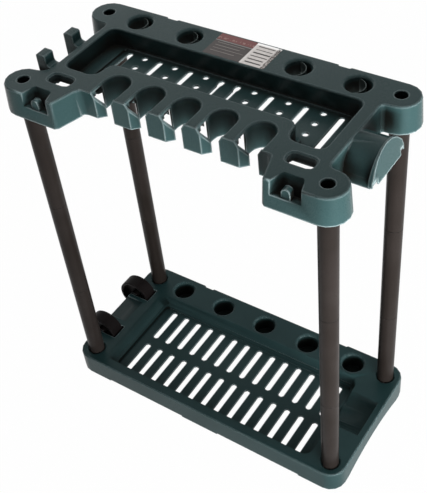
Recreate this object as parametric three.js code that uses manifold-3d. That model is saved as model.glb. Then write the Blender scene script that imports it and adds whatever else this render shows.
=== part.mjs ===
// Freestanding garden tool rack: two moulded trays joined by four poles, with two wheels at the left end.
// Millimetres, +Z up, the floor at Z = 0, the comb of notches at the front (-Y).
import * as THREE from 'three';
import { mergeVertices } from 'three/addons/utils/BufferGeometryUtils.js';
import Module from 'manifold-3d';

const wasm = await Module();
wasm.setup();

// Driving dimensions of the whole rack
const polePitchX = 475;
const polePitchY = 194;
const rackHeight = 617.5;
const baseHeight = 40;
const skirtDepth = 42;
const skirtFlare = 2.6;
const cornerRadius = 27.2;
const wall = 2.6;
const plateThickness = 3;
const edgeRadius = 2.4;
const middleShift = 2.6;

// Fits and overruns
const seatGap = 0.3;
const slideGap = 0.3;
const overrun = 5;
const embed = 1;
const leastRadius = 0.2;
const weldDistance = 0.001;

// Poles: each is three equal tubes, plugged one on the next
const tubesPerPole = 3;
const poleDiameter = 27.5;
const tubeWall = 1.8;
const tubeBottomZ = 9.5;
const spigotLength = 25;
const spigotWall = 1.8;
const spigotChamfer = 1;
const neckLength = 5;

// Round holes in the rear rail and the cups below them
const handleHoles = 5;
const handlePitch = 88.9;
const handleSetback = 2.5;
const handleRadius = 18.3;
const handleRim = 4.5;
const collarDepth = 30;
const cupDepth = 31;

// Top tray
const leftInset = 17.2;
const rightInset = 13.5;
const rightNeckRadius = 8;
const leftNeckRadius = 16;
const rearNeckRadius = 6;
const lobeHoleRadius = 9;
const wellLeftMargin = 12.3;
const wellRightMargin = 20;
const wellRearMargin = 32;
const wellFrontMargin = 51;
const wellDepth = 30.5;
const ledgeDrop = 27.5;
const ledgeWidth = 2;
const ledgeEndWidth = 24;
const wellCorner = 12;
const rootCorner = 15;
const rootInset = 87;

// Comb of notches along the front
const notches = 5;
const notchPitch = 57.3;
const notchWidth = 38.6;
const notchDepth = 53.5;
const combSetback = 16;
const rootWidth = 17.5;
const fingerDepth = 40.5;
const tipWidth = 28.3;
const lipReach = 9.8;
const lipReachLeft = 6.8;
const shoulderDrop = 25;
const sideFlange = 7;
const windowFront = 10.5;
const windowBack = 25.5;
const scallopBack = 52.5;
const scallopTop = 24;

// Corner blocks with a slot and a pegged recess
const blockInset = 73;
const blockSlant = 12.5;
const blockCorner = 2.6;
const blockRoot = 10;
const slotInset = 48.5;
const slotSetback = 23.5;
const slotLength = 38;
const slotWidth = 20;
const slotCorner = 7;
const slotDepth = 14;
const slotRim = 2.4;
const recessInset = 41.5;
const recessFrontWidth = 46;
const recessBackWidth = 29.5;
const recessDepthY = 22;
const recessDepthZ = 21;
const recessCorner = 3;
const pitDepth = 13;
const pitMargin = 1.5;
const pegWidth = 13;
const pegLength = 9;
const pegHeight = 15.5;

// Slotted grid of both floors
const gridColumns = 14;
const gridPitch = 26.65;
const gridHoleRadius = 4.5;
const gridHolePitch = 24.3;
const gridRearMargin = 11.5;
const topSlotWidth = 8.4;
const waistWidth = 5;
const waistMargin = 9;
const baseSlotWidth = 10;
const baseSlotLength = 68;
const baseSlotGap = 17.4;
const gridSlotCorner = 3;
const floorThickness = 2.5;

// Hose saddle on the right end and prongs on the left end
const saddleRadius = 41;
const saddleReach = 39;
const flangeRadius = 45;
const flangeThickness = 2.5;
const flangeFlare = 6.5;
const flangeShift = 2;
const flangeFoot = 6;
const flangeHeelWidth = 62;
const flangeHeelShift = 3;
const flangeHeel = 3;
const prongGap = 12;
const prongWidthX = 16;
const prongWidthY = 18;
const prongRise = 13;
const prongPitch = 60;
const prongShift = 15.5;
const prongFoot = 4.5;
const prongChamfer = 2;
const leftSkirtDepth = 28;
const leftSkirtMargin = 12;

// Rear grooves of both trays
const grooveSpan = 282;
const grooveWidth = 20;
const grooveDepth = 2.5;

// Base tray
const baseWellLeft = 26.5;
const baseWellRight = 33.5;
const baseWellRear = 30;
const baseWellFront = 10;
const baseWellCorner = 14;
const baseWellDepth = 22;
const baseLedgeDrop = 17;
const baseLedgeWidth = 6;
const leftSlope = 10.5;
const sideSlope = 2.5;
const socketRim = 4;
const footHeight = 2.5;
const footLength = 72;
const archHeight = 12.5;
const archSpan = 172;
const scoopWidth = 49;
const scoopLength = 75;
const scoopDepth = 20;
const scoopShift = 3.5;
const panelDrop = 3;
const panelLength = 53;
const panelWidth = 36;
const ribThickness = 2;
const ribDepth = 11;

// Wheels and their pins
const wheelRadius = 32;
const wheelWidth = 26;
const wheelTrack = 102;
const wheelShiftY = 1.5;
const wheelX = 19.5;
const wheelLift = 1;
const wheelSideGap = 1.5;
const wheelGap = 2.5;
const hubRadius = 9;
const webThickness = 4;
const rimThickness = 5;
const treadChamfer = 2.5;
const pinRadius = 3;
const pinHeadRadius = 3.7;
const pinHead = 2.5;
const pinTail = 3;

// Fineness of round shapes: sides of round bodies, steps of rounded edges, and how far arcs stray from curves
const tubeSides = 14;
const holeSides = 16;
const collarSides = 12;
const bowSteps = 10;
const gridHoleSides = 8;
const wheelSides = 28;
const rimSteps = 2;
const edgeSteps = 2;
const arcTolerance = 0.42;

// Places worked out from the sizes above
const poleX = polePitchX / 2;
const poleY = polePitchY / 2;
const trayX = poleX + cornerRadius;
const trayY = poleY + cornerRadius;
const topZ = rackHeight;
const skirtZ = topZ - skirtDepth;
const plateZ = topZ - plateThickness;
const poleRadius = poleDiameter / 2;
const boreRadius = poleRadius - tubeWall;
const spigotRadius = boreRadius - slideGap;
const tubeLength = (skirtZ + embed - tubeBottomZ) / tubesPerPole;
const sleeveZ = skirtZ + embed + seatGap;
const handleY = poleY - handleSetback;
const leftEdge = -(poleX - leftInset);
const rightEdge = poleX - rightInset;
const combY = -(poleY - combSetback);
const notchBackY = combY + notchDepth;
const rootY = notchBackY + rootWidth;
const rootX = poleX - rootInset;
const wellRearY = poleY - wellRearMargin;
const wellFrontY = -(poleY - wellFrontMargin);
const wellFloorZ = topZ - wellDepth;
const ledgeZ = topZ - ledgeDrop;
const ledgeUnderZ = ledgeZ - floorThickness;
const blockX = poleX - blockInset;
const baseRearY = poleY - baseWellRear;
const baseFloorZ = baseHeight - baseWellDepth;
const baseGridY = baseRearY - gridRearMargin - edgeRadius;
const wheelAxisX = -(poleX + wheelX);
const wheelAxisZ = wheelRadius + wheelLift;
const saddleEnd = rightEdge + saddleReach;
const saddleTip = saddleEnd + flangeThickness + flangeFlare;
const wheelTip = wheelAxisX - wheelRadius;
const rackWidth = saddleTip - wheelTip;

// A mesh's surface as a solid that can be joined and cut
function solid(geometry) {
  const bare = geometry.clone();
  bare.deleteAttribute('normal');
  bare.deleteAttribute('uv');
  const merged = mergeVertices(bare);
  const vertProperties = new Float32Array(merged.attributes.position.array);
  const triVerts = new Uint32Array(merged.index.array);
  return new wasm.Manifold(new wasm.Mesh({ numProp: 3, vertProperties, triVerts }));
}

// A named mesh from a solid
function piece(name, body, finish) {
  const { vertProperties, triVerts } = body.getMesh();
  const geometry = new THREE.BufferGeometry();
  geometry.setAttribute('position', new THREE.BufferAttribute(new Float32Array(vertProperties), 3));
  geometry.setIndex(new THREE.BufferAttribute(new Uint32Array(triVerts), 1));
  geometry.computeVertexNormals();
  const mesh = new THREE.Mesh(geometry, finish);
  mesh.name = name;
  return mesh;
}

const join = (first, ...others) => others.reduce((sum, other) => sum.add(other), first);
const cut = (first, ...others) => others.reduce((rest, other) => rest.subtract(other), first);
const range = (count) => Array.from({ length: count }, (unused, index) => index);
const centred = (index, count, pitch) => (index - (count - 1) / 2) * pitch;

// The points of one filleted corner, from its neighbours before and after it.
// The nominal radius alone sets how many there are, so that outlines of one shape keep equal counts.
function fillet(before, corner, after, radius, nominal) {
  const back = before.clone().sub(corner).normalize();
  const ahead = after.clone().sub(corner).normalize();
  const half = Math.acos(THREE.MathUtils.clamp(back.dot(ahead), -1, 1)) / 2;
  const reach = radius / Math.tan(half);
  const middle = back.clone().add(ahead).normalize();
  const centre = middle.multiplyScalar(radius / Math.sin(half)).add(corner);
  const first = back.multiplyScalar(reach).add(corner).sub(centre);
  const last = ahead.multiplyScalar(reach).add(corner).sub(centre);
  const turn = Math.atan2(first.cross(last), first.dot(last));
  const step = Math.acos(1 - Math.min(arcTolerance / nominal, 1 / 2)) * 2;
  const steps = Math.max(1, Math.round(Math.abs(turn) / step));
  const origin = new THREE.Vector2();
  const turned = (index) => first.clone().rotateAround(origin, turn * index / steps);
  return range(steps + 1).map((index) => turned(index).add(centre));
}

// A closed counter-clockwise outline from corners [x, y, fillet radius], moved inwards by an inset.
// A flare moves each side back outwards, but for the sides marked as upright.
function roundedLoop(corners, inset = 0, flare = 0) {
  const points = corners.map(([x, y]) => new THREE.Vector2(x, y));
  const count = corners.length;
  const normal = (from, to) => new THREE.Vector2(from.y - to.y, to.x - from.x).normalize();
  const reach = corners.map((corner) => inset - (corner[3] ? 0 : flare));
  const moved = points.map((point, index) => {
    const previous = (index + count - 1) % count;
    const a = normal(points[previous], point);
    const b = normal(point, points[(index + 1) % count]);
    const turn = a.cross(b);
    const shiftX = (reach[previous] * b.y - reach[index] * a.y) / turn;
    const shiftY = (reach[index] * a.x - reach[previous] * b.x) / turn;
    const growth = (reach[previous] + reach[index]) / 2;
    const shifted = new THREE.Vector2(point.x + shiftX, point.y + shiftY);
    return { point: shifted, growth: turn > 0 ? -growth : growth };
  });
  const loop = moved.flatMap(({ point, growth }, index) => {
    const before = moved[(index + count - 1) % count].point;
    const after = moved[(index + 1) % count].point;
    const nominal = corners[index][2];
    const radius = Math.max(nominal + growth, leastRadius);
    return nominal > 0 ? fillet(before, point, after, radius, nominal) : [point];
  });
  return loop.filter((point, index) => point.distanceTo(loop[(index + 1) % loop.length]) > weldDistance);
}

// The four corners of an upright rectangle seen from above, with one fillet radius
function boxCorners(x0, y0, x1, y1, radius) {
  return [[x0, y0, radius], [x1, y0, radius], [x1, y1, radius], [x0, y1, radius]];
}

function boxLoop(x0, y0, x1, y1, radius) {
  return roundedLoop(boxCorners(x0, y0, x1, y1, radius));
}

function shapeOf(loop, holes = []) {
  const shape = new THREE.Shape(loop);
  shape.holes = holes.map((hole) => new THREE.Path(hole));
  return shape;
}

// An upright prism over an outline, from z0 to z1, with any holes left open
function prism(loop, z0, z1, holes = []) {
  const geometry = new THREE.ExtrudeGeometry(shapeOf(loop, holes), { depth: z1 - z0, bevelEnabled: false });
  return solid(geometry.translate(0, 0, z0));
}

// The same, with the upper edges of the outline and of its holes rounded
function softPrism(loop, z0, z1, radius, holes = []) {
  const geometry = new THREE.ExtrudeGeometry(shapeOf(loop, holes), {
    depth: z1 - z0, bevelThickness: radius, bevelSize: radius, bevelOffset: -radius, bevelSegments: edgeSteps,
  });
  const tall = solid(geometry.translate(0, 0, z0 - radius));
  return cut(tall, block(-rackWidth, rackWidth, -rackWidth, rackWidth, z0 - radius - radius - overrun, z0));
}

// A solid between two outlines of as many points, the lower at z0 and the upper at z1
function loft(lower, upper, z0, z1) {
  const count = upper.length;
  const ring = (loop, z) => loop.flatMap((point) => [point.x, point.y, z]);
  const sides = range(count).flatMap((index) => {
    const next = (index + 1) % count;
    return [index, next, count + next, index, count + next, count + index];
  });
  const caps = THREE.ShapeUtils.triangulateShape(upper, []).flatMap(([a, b, c]) =>
    [count + a, count + b, count + c, c, b, a]);
  const geometry = new THREE.BufferGeometry();
  const points = [...ring(lower, z0), ...ring(upper, z1)];
  geometry.setAttribute('position', new THREE.Float32BufferAttribute(points, 3));
  geometry.setIndex([...sides, ...caps]);
  return solid(geometry);
}

// A box between two places on each axis
function block(x0, x1, y0, y1, z0, z1) {
  const geometry = new THREE.BoxGeometry(x1 - x0, y1 - y0, z1 - z0);
  return solid(geometry.translate((x0 + x1) / 2, (y0 + y1) / 2, (z0 + z1) / 2));
}

// A body of revolution about an upright axis, from a profile of [radius, z] points
function revolve(profile, sides) {
  const points = profile.map(([radius, z]) => new THREE.Vector2(radius, z));
  return new THREE.LatheGeometry(points, sides).rotateX(Math.PI / 2);
}

function rod(radius, z0, z1, x, y, sides = holeSides) {
  return solid(revolve([[0, z0], [radius, z0], [radius, z1], [0, z1]], sides).translate(x, y, 0));
}

// A profile in X and Z, extruded along Y from y0 to y1
function alongY(loop, y0, y1) {
  const geometry = new THREE.ExtrudeGeometry(shapeOf(loop), { depth: y1 - y0, bevelEnabled: false });
  return solid(geometry.rotateX(Math.PI / 2).translate(0, y1, 0));
}

// A profile in Y and Z, extruded along X from x0 to x1
function alongX(loop, x0, x1) {
  const geometry = new THREE.ExtrudeGeometry(shapeOf(loop), { depth: x1 - x0, bevelEnabled: false });
  return solid(geometry.rotateX(Math.PI / 2).rotateZ(Math.PI / 2).translate(x0, 0, 0));
}

// The cutter of a round hole whose rim at the upper face rolls outwards
function rimmedHole(radius, rim, z0, z1, x, y, sides = holeSides) {
  const roll = range(rimSteps + 1).map((step) => {
    const angle = Math.PI / 2 * step / rimSteps;
    return [radius + rim * (1 - Math.cos(angle)), z1 - rim * (1 - Math.sin(angle))];
  });
  const lip = radius + rim;
  const profile = [[0, z0], [radius, z0], ...roll, [lip, z1 + overrun], [0, z1 + overrun]];
  return solid(revolve(profile, sides).translate(x, y, 0));
}

const notchX = (index) => middleShift + centred(index, notches, notchPitch);
const handleX = (index) => centred(index, handleHoles, handlePitch);
const gridX = (index) => middleShift + centred(index, gridColumns, gridPitch);
const corners = [[-1, -1], [1, -1], [1, 1], [-1, 1]];

// Outline of the top tray: four round corners, the comb of notches and the two block fronts
function topOutline() {
  const half = notchWidth / 2;
  const upright = true;
  const comb = range(notches).flatMap((index) => [
    [notchX(index) - half, combY, 0, upright],
    [notchX(index) - half, notchBackY, half, upright],
    [notchX(index) + half, notchBackY, half, upright],
    [notchX(index) + half, combY, 0, upright],
  ]);
  const blockBack = blockX - blockSlant;
  return [
    [-trayX, -trayY, cornerRadius],
    [-blockX, -trayY, blockCorner],
    [-blockBack, combY, blockRoot, upright],
    ...comb,
    [blockBack, combY, blockRoot],
    [blockX, -trayY, blockCorner],
    [trayX, -trayY, cornerRadius],
    [trayX, cornerRadius - poleY, cornerRadius],
    [rightEdge, cornerRadius - poleY, rightNeckRadius],
    [rightEdge, poleY - cornerRadius, rearNeckRadius],
    [trayX, poleY - cornerRadius, cornerRadius],
    ...rearEdge(trayX, trayY),
    [-trayX, poleY - cornerRadius, cornerRadius],
    [leftEdge, poleY - cornerRadius, rearNeckRadius],
    [leftEdge, cornerRadius - poleY, leftNeckRadius],
    [-trayX, cornerRadius - poleY, cornerRadius],
  ];
}

// The two rear corners and, between them, two shallow grooves
function rearEdge(x, y) {
  const groove = (side) => {
    const centre = middleShift + side * grooveSpan / 2;
    const half = grooveWidth / 2;
    return [
      [centre + half, y, 0],
      [centre + half - grooveDepth, y - grooveDepth, 0],
      [centre - half + grooveDepth, y - grooveDepth, 0],
      [centre - half, y, 0],
    ];
  };
  return [[x, y, cornerRadius], ...groove(1), ...groove(-1), [-x, y, cornerRadius]];
}

// Outline of the top tray's well, with the comb's root stepping into its front
function wellOutline() {
  return [
    [leftEdge + wellLeftMargin, wellFrontY, wellCorner],
    [-rootX, wellFrontY, rootCorner],
    [-rootX, rootY, rootCorner],
    [rootX, rootY, rootCorner],
    [rootX, wellFrontY, rootCorner],
    [rightEdge - wellRightMargin, wellFrontY, wellCorner],
    [rightEdge - wellRightMargin, wellRearY, wellCorner],
    [leftEdge + wellLeftMargin, wellRearY, wellCorner],
  ];
}

// Slots and pairs of holes in the floor of the top tray's well
function topGrid() {
  const rear = wellRearY - gridRearMargin;
  const lastColumn = gridColumns - 1;
  return range(gridColumns).flatMap((index) => {
    const x = gridX(index);
    const mirrored = Math.min(index, lastColumn - index);
    const atEnd = Math.abs(x) > rootX + topSlotWidth;
    const front = (atEnd ? wellFrontY : rootY) + gridRearMargin;
    if (mirrored % 2 === 0) {
      return [topSlot(x, front, rear + topSlotWidth / 2, mirrored === Math.floor(lastColumn / 2))];
    }
    const holes = Math.floor((rear - front) / gridHolePitch) + 1;
    return range(holes).map((row) => circle(x, rear - row * gridHolePitch, gridHoleRadius));
  });
}

// One slot of the upper floor, straight or with a narrow waist
function topSlot(x, front, rear, waisted) {
  const half = topSlotWidth / 2;
  const waist = waistWidth / 2;
  const low = front + waistMargin;
  const high = rear - waistMargin;
  const pinch = (side) => [
    [x + side * half, low, 0],
    [x + side * waist, low + half, 0],
    [x + side * waist, high - half, 0],
    [x + side * half, high, 0],
  ];
  return roundedLoop([
    [x - half, front, gridSlotCorner],
    [x + half, front, gridSlotCorner],
    ...(waisted ? pinch(1) : []),
    [x + half, rear, gridSlotCorner],
    [x - half, rear, gridSlotCorner],
    ...(waisted ? pinch(-1).reverse() : []),
  ]);
}

function circle(x, y, radius) {
  return range(gridHoleSides).map((index) => {
    const angle = Math.PI * 2 * index / gridHoleSides;
    return new THREE.Vector2(x + radius * Math.cos(angle), y + radius * Math.sin(angle));
  });
}

// The floor of the top tray's well: a slotted sheet, let down into a ledge that runs round it
function topFloor() {
  const left = leftEdge + wellLeftMargin + ledgeEndWidth;
  const right = rightEdge - wellRightMargin - ledgeEndWidth + wellLeftMargin;
  const inner = (inset) => roundedLoop([
    [left, wellFrontY + ledgeWidth, rootCorner / 2],
    [-rootX - ledgeWidth, wellFrontY + ledgeWidth, rootCorner / 2],
    [-rootX - ledgeWidth, rootY + ledgeWidth, rootCorner / 2],
    [rootX + ledgeWidth, rootY + ledgeWidth, rootCorner / 2],
    [rootX + ledgeWidth, wellFrontY + ledgeWidth, rootCorner / 2],
    [right, wellFrontY + ledgeWidth, rootCorner / 2],
    [right, wellRearY - ledgeWidth, rootCorner / 2],
    [left, wellRearY - ledgeWidth, rootCorner / 2],
  ], inset);
  const ledge = prism(roundedLoop(wellOutline(), -wall / 2), ledgeUnderZ, ledgeZ, [inner(0)]);
  const pan = prism(inner(-ledgeWidth), wellFloorZ - floorThickness, ledgeZ - embed, topGrid());
  return join(ledge, cut(pan, prism(inner(0), wellFloorZ, ledgeZ)));
}

// A finger tip of the comb: a front plate folded back into a lip on each open side
function fingerTip(x, openLeft, openRight) {
  const half = tipWidth / 2;
  const right = half + lipReach;
  const left = half + lipReachLeft;
  const foldY = combY + lipReach;
  const inset = wall * Math.tan(Math.PI / 8);
  const back = Math.SQRT1_2 * wall;
  const plan = [
    [-left, foldY], [-half, combY], [half, combY], [right, foldY],
    [right - back, foldY + back], [half - inset, combY + wall], [inset - half, combY + wall],
    [back - left, foldY + back],
  ].map(([px, py]) => new THREE.Vector2(x + px, py));
  const narrow = (notchPitch - notchWidth) / 2;
  const foot = right + overrun;
  const footZ = topZ - (foot - narrow) * shoulderDrop / (right - narrow);
  const profile = [
    [narrow, topZ], [-narrow, topZ], [-foot, footZ], [-foot, skirtZ - overrun], [foot, skirtZ - overrun],
    [foot, footZ],
  ].map(([px, z]) => new THREE.Vector2(x + px, z));
  const frontY = combY - overrun;
  const rearY = foldY + overrun;
  const strip = prism(plan, topZ - fingerDepth, topZ).intersect(alongY(profile, frontY, rearY));
  const low = openLeft ? foot : narrow;
  const high = openRight ? foot : narrow;
  return strip.intersect(block(x - low, x + high, frontY, rearY, skirtZ - overrun, topZ));
}

// The openings in the two walls of a notch, behind the finger tips, and the low scallop behind its right one
function notchWindows(index) {
  const x = notchX(index);
  const lowZ = skirtZ - overrun;
  const windowTop = plateZ - embed / 2;
  const frontY = combY + windowFront;
  const backY = combY + windowBack;
  const inside = notchWidth / 2 - embed / 4;
  const outside = notchWidth / 2 + wall + embed / 4;
  const opening = (side, y0, y1, top) => {
    const ends = [x + side * inside, x + side * outside];
    return block(Math.min(...ends), Math.max(...ends), y0, y1, lowZ, top);
  };
  const windows = [-1, 1].flatMap((side) => [
    opening(side, frontY, backY, windowTop),
    opening(side, combY + wall, frontY + embed / 2, windowTop - sideFlange),
  ]);
  const scallop = block(x, x + outside, backY - embed / 2, combY + scallopBack, lowZ, topZ - scallopTop);
  return [...windows, scallop];
}

// The comb's front cut back to its fingers' depth, its walls opened and its finger tips joined on
function dressComb(body) {
  const half = blockX - blockSlant;
  const trim = block(-half, half, combY - overrun, combY + windowFront, skirtZ - overrun, topZ - fingerDepth);
  const opened = cut(body, trim, ...range(notches).flatMap(notchWindows));
  const fingers = range(notches + 1).map((index) => {
    const x = notchX(0) + (index - 1 / 2) * notchPitch;
    return fingerTip(x, index > 0, index < notches);
  });
  return join(opened, ...fingers);
}

// The through slot in a corner block, with a collar below it
function blockSlot(side) {
  const x = side * (poleX - slotInset);
  const y = -(poleY - slotSetback);
  const halfX = slotLength / 2;
  const halfY = slotWidth / 2;
  const plan = boxCorners(x - halfX, y - halfY, x + halfX, y + halfY, slotCorner);
  const loop = roundedLoop(plan);
  const collar = prism(roundedLoop(plan, -wall), topZ - slotDepth, plateZ + embed);
  const rim = prism(roundedLoop(plan, -slotRim), topZ - embed / 4, topZ + overrun);
  const hole = prism(loop, topZ - slotDepth - overrun, topZ + overrun);
  return { collar, hole: join(hole, countersink(loop, slotRim), rim) };
}

// The sloped rim of a shaped opening: its outline grows by the rim's width at the upper face
function countersink(loop, width) {
  const geometry = new THREE.ExtrudeGeometry(shapeOf(loop), {
    depth: overrun, bevelThickness: width, bevelSize: width, bevelOffset: 0, bevelSegments: 1,
  });
  return solid(geometry.translate(0, 0, topZ));
}

// The recess in a corner block, open to the front and top: a round-topped peg in its mouth, a pit behind it
function blockRecess(side) {
  const x = side * (poleX - recessInset);
  const frontHalf = recessFrontWidth / 2;
  const backHalf = recessBackWidth / 2;
  const backY = recessDepthY - trayY;
  const corner = recessCorner;
  const outline = (grow, frontY) => roundedLoop([
    [x - frontHalf - grow, frontY, 0],
    [x + frontHalf + grow, frontY, 0],
    [x + backHalf + grow, backY + grow, corner],
    [x - backHalf - grow, backY + grow, corner],
  ]);
  const floorZ = topZ - recessDepthZ;
  const pitHalf = backHalf - pitMargin;
  const pitY = pegLength + pitMargin - trayY;
  const pitZ = floorZ - pitDepth;
  const pit = (grow, top) =>
    block(x - pitHalf - grow, x + pitHalf + grow, pitY - grow, backY - pitMargin + grow, pitZ - grow, top);
  const casing = join(prism(outline(wall, embed - trayY), floorZ - wall, plateZ + embed), pit(wall, floorZ));
  const hollow = join(prism(outline(0, -trayY - overrun), floorZ, topZ + overrun), pit(0, floorZ + embed));
  const half = pegWidth / 2;
  const arch = roundedLoop([
    [x - half, floorZ - embed, 0],
    [x + half, floorZ - embed, 0],
    [x + half, floorZ + pegHeight, half - embed / 4],
    [x - half, floorZ + pegHeight, half - embed / 4],
  ]);
  return { casing, hollow, peg: alongY(arch, -trayY, pegLength - trayY) };
}

// The round-topped hose saddle: a hollow half drum with a leaning flange at its outer end
function saddle() {
  const drum = (radius, low, end) => alongX(halfDisc(0, radius, low), rightEdge - wall, end);
  const outer = drum(saddleRadius, skirtZ, saddleEnd + embed);
  const shell = cut(outer, drum(saddleRadius - wall, skirtZ - embed, saddleEnd));
  const low = skirtZ + flangeFoot;
  const high = skirtZ + flangeRadius;
  const wide = flangeRadius + flangeRadius;
  const leaning = (depth) => alongY([
    [saddleEnd - overrun, low], [saddleTip - depth, low], [saddleTip - flangeFlare - depth, high],
    [saddleTip - flangeFlare - depth, high + overrun], [saddleEnd - overrun, high + overrun],
  ].map(([x, z]) => new THREE.Vector2(x, z)), -wide, wide);
  const disc = (radius, x0) => alongX(halfDisc(-flangeShift, radius, skirtZ), x0, saddleTip + overrun);
  const flange = disc(flangeRadius, saddleEnd).intersect(leaning(0));
  const hollow = disc(flangeRadius - wall, saddleEnd + wall).intersect(leaning(wall));
  const heelX = saddleTip - flangeHeel;
  const heel = (side) => {
    const y0 = side * flangeHeelWidth / 2 - flangeHeelShift;
    const y1 = side * wide;
    return block(heelX, saddleTip + overrun, Math.min(y0, y1), Math.max(y0, y1), low - embed, high);
  };
  return join(shell, cut(flange, hollow, heel(-1), heel(1)));
}

function halfDisc(centreY, radius, z) {
  return range(bowSteps + 1).map((index) => {
    const angle = Math.PI * index / bowSteps;
    return new THREE.Vector2(centreY + radius * Math.cos(angle), z + radius * Math.sin(angle));
  });
}

// One upright prong of the left end, on a foot that joins the tray's skirt
function prong(y) {
  const inner = leftEdge - prongGap;
  const outer = inner - prongWidthX;
  const headZ = topZ + prongRise;
  const footZ = topZ - prongFoot;
  const profile = (inset) => roundedLoop([
    [outer + inset, skirtZ - (inset > 0 ? embed : 0), 0],
    [leftEdge + wall - inset / 2, skirtZ - (inset > 0 ? embed : 0), 0],
    [leftEdge + wall - inset / 2, footZ - inset, 0],
    [inner - inset, footZ - inset, prongFoot],
    [inner - inset, headZ - inset, prongChamfer],
    [outer + inset, headZ - inset, prongChamfer],
  ]);
  const half = prongWidthY / 2;
  return cut(alongY(profile(0), y - half, y + half), alongY(profile(wall), y - half + wall, y + half - wall));
}

// What is cut from the left skirt and from the prongs, which reach less far down than the corners
function leftRelief() {
  const x0 = leftEdge - prongGap - prongWidthX - overrun;
  const half = poleY - cornerRadius - leftSkirtMargin;
  return block(x0, leftEdge + wall + embed, -half, half, skirtZ - overrun, topZ - leftSkirtDepth);
}

// Stiffening ribs below a rear rail, between its round holes
function railRibs(frontY, z0, z1) {
  const half = ribThickness / 2;
  return range(handleHoles + 1).map((index) => {
    const x = centred(index, handleHoles + 1, handlePitch);
    return block(x - half, x + half, frontY + wall / 2, trayY - wall - grooveDepth / 2, z0, z1);
  });
}

function topTray() {
  const outline = topOutline();
  const wellOuter = roundedLoop(wellOutline(), -wall);
  const top = softPrism(roundedLoop(outline), plateZ - embed, topZ, edgeRadius, [roundedLoop(wellOutline())]);
  const skirt = loft(roundedLoop(outline, 0, skirtFlare), roundedLoop(outline), skirtZ, topZ - edgeRadius);
  const inner = roundedLoop(outline, wall);
  const cavity = loft(roundedLoop(outline, wall, skirtFlare), inner, skirtZ - embed / 4, plateZ);
  const wellWall = prism(wellOuter, ledgeUnderZ, plateZ + embed / 4);
  const hollow = prism(roundedLoop(wellOutline()), ledgeUnderZ - embed, topZ);
  const shell = dressComb(join(cut(join(cut(skirt, cavity), wellWall), hollow), top));
  const slots = [-1, 1].map(blockSlot);
  const recesses = [-1, 1].map(blockRecess);
  const collars = range(handleHoles).map((index) =>
    rod(handleRadius + wall, topZ - collarDepth, plateZ + embed, handleX(index), handleY, collarSides));
  const sleeves = corners.map(([sx, sy]) =>
    rod(spigotRadius + slideGap + wall, sleeveZ, plateZ + embed, sx * poleX, sy * poleY, collarSides));
  const added = join(shell, topFloor(), saddle(), prong(-prongShift - prongPitch / 2),
    prong(-prongShift + prongPitch / 2), ...collars, ...sleeves,
    ...railRibs(wellRearY, topZ - collarDepth, plateZ + embed / 2),
    ...slots.map((slot) => slot.collar), ...recesses.map((recess) => recess.casing));
  const hollowed = cut(added, leftRelief(),
    ...range(handleHoles).map((index) =>
      rimmedHole(handleRadius, handleRim, skirtZ - overrun, topZ, handleX(index), handleY)),
    ...corners.map(([sx, sy]) =>
      rod(spigotRadius + slideGap, skirtZ - overrun, plateZ, sx * poleX, sy * poleY, tubeSides)),
    ...corners.map(([sx, sy]) =>
      rimmedHole(lobeHoleRadius, embed, plateZ - embed, topZ, sx * poleX, sy * poleY)),
    ...slots.map((slot) => slot.hole),
    ...recesses.map((recess) => recess.hollow));
  return join(hollowed, ...recesses.map((recess) => recess.peg));
}

// A well with sloping sides and a ledge round its floor
function slopedWell(depth, grow) {
  const left = -(poleX - baseWellLeft) - grow;
  const right = poleX - baseWellRight + grow;
  const front = -(poleY + baseWellFront) - grow;
  const rear = baseRearY + grow;
  const rim = boxLoop(left, front, right, rear, baseWellCorner);
  const bottomLeft = left + leftSlope;
  const bottomRight = right - sideSlope;
  const foot = boxCorners(bottomLeft, front + sideSlope, bottomRight, rear - sideSlope, baseWellCorner);
  const floor = baseHeight - depth;
  const ledge = baseHeight - baseLedgeDrop - grow;
  const cone = loft(roundedLoop(foot), rim, ledge, baseHeight - grow / 2);
  return join(cone, prism(roundedLoop(foot, grow > 0 ? 0 : baseLedgeWidth), floor, ledge + embed));
}

// Slots of the base tray's floor, in a rear and a front row
function baseGrid() {
  const half = baseSlotWidth / 2;
  const rows = [baseGridY, baseGridY - baseSlotLength - baseSlotGap];
  return rows.flatMap((top) => range(gridColumns).map((index) =>
    boxLoop(gridX(index) - half, top - baseSlotLength, gridX(index) + half, top, gridSlotCorner)));
}

// The radius of an arc from its half span and its rise
function arcRadius(half, rise) {
  return (half * half / rise + rise) / 2;
}

// The hand scoop at the right end, a trough across the tray's end
function scoop(grow) {
  const half = scoopLength / 2;
  const radius = arcRadius(half, scoopDepth);
  const axisZ = baseHeight - scoopDepth + radius;
  const sweep = Math.asin(half / radius);
  const reach = radius + grow;
  const bed = range(bowSteps + 1).map((index) => {
    const angle = sweep * (2 * index / bowSteps - 1);
    return new THREE.Vector2(scoopShift + reach * Math.sin(angle), axisZ - reach * Math.cos(angle));
  });
  const x0 = poleX - baseWellRight - (grow > 0 ? 0 : overrun);
  const x1 = poleX - baseWellRight + scoopWidth + grow;
  const top = grow > 0 ? baseHeight - embed : baseHeight + overrun;
  const lid = [new THREE.Vector2(bed[bowSteps].x, top), new THREE.Vector2(bed[0].x, top)];
  return alongX([...bed, ...lid], x0, x1);
}

// The bay of one wheel: three walls below an opening in the tray's left edge
function wheelBay(side) {
  const y = wheelShiftY + side * wheelTrack / 2;
  const half = wheelWidth / 2 + wheelSideGap;
  const inner = wheelAxisX + wheelRadius + wheelGap;
  const outside = half + wall;
  const x0 = -trayX + embed / 2;
  const walls = block(x0, inner + wall, y - outside, y + outside, footHeight, baseHeight - embed);
  const hollow = block(-trayX - overrun, inner, y - half, y + half, -overrun, baseHeight + overrun);
  const bore = pinBody(pinRadius + slideGap, outside + outside + overrun, y);
  return { walls, hollow: join(hollow, bore) };
}

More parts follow.
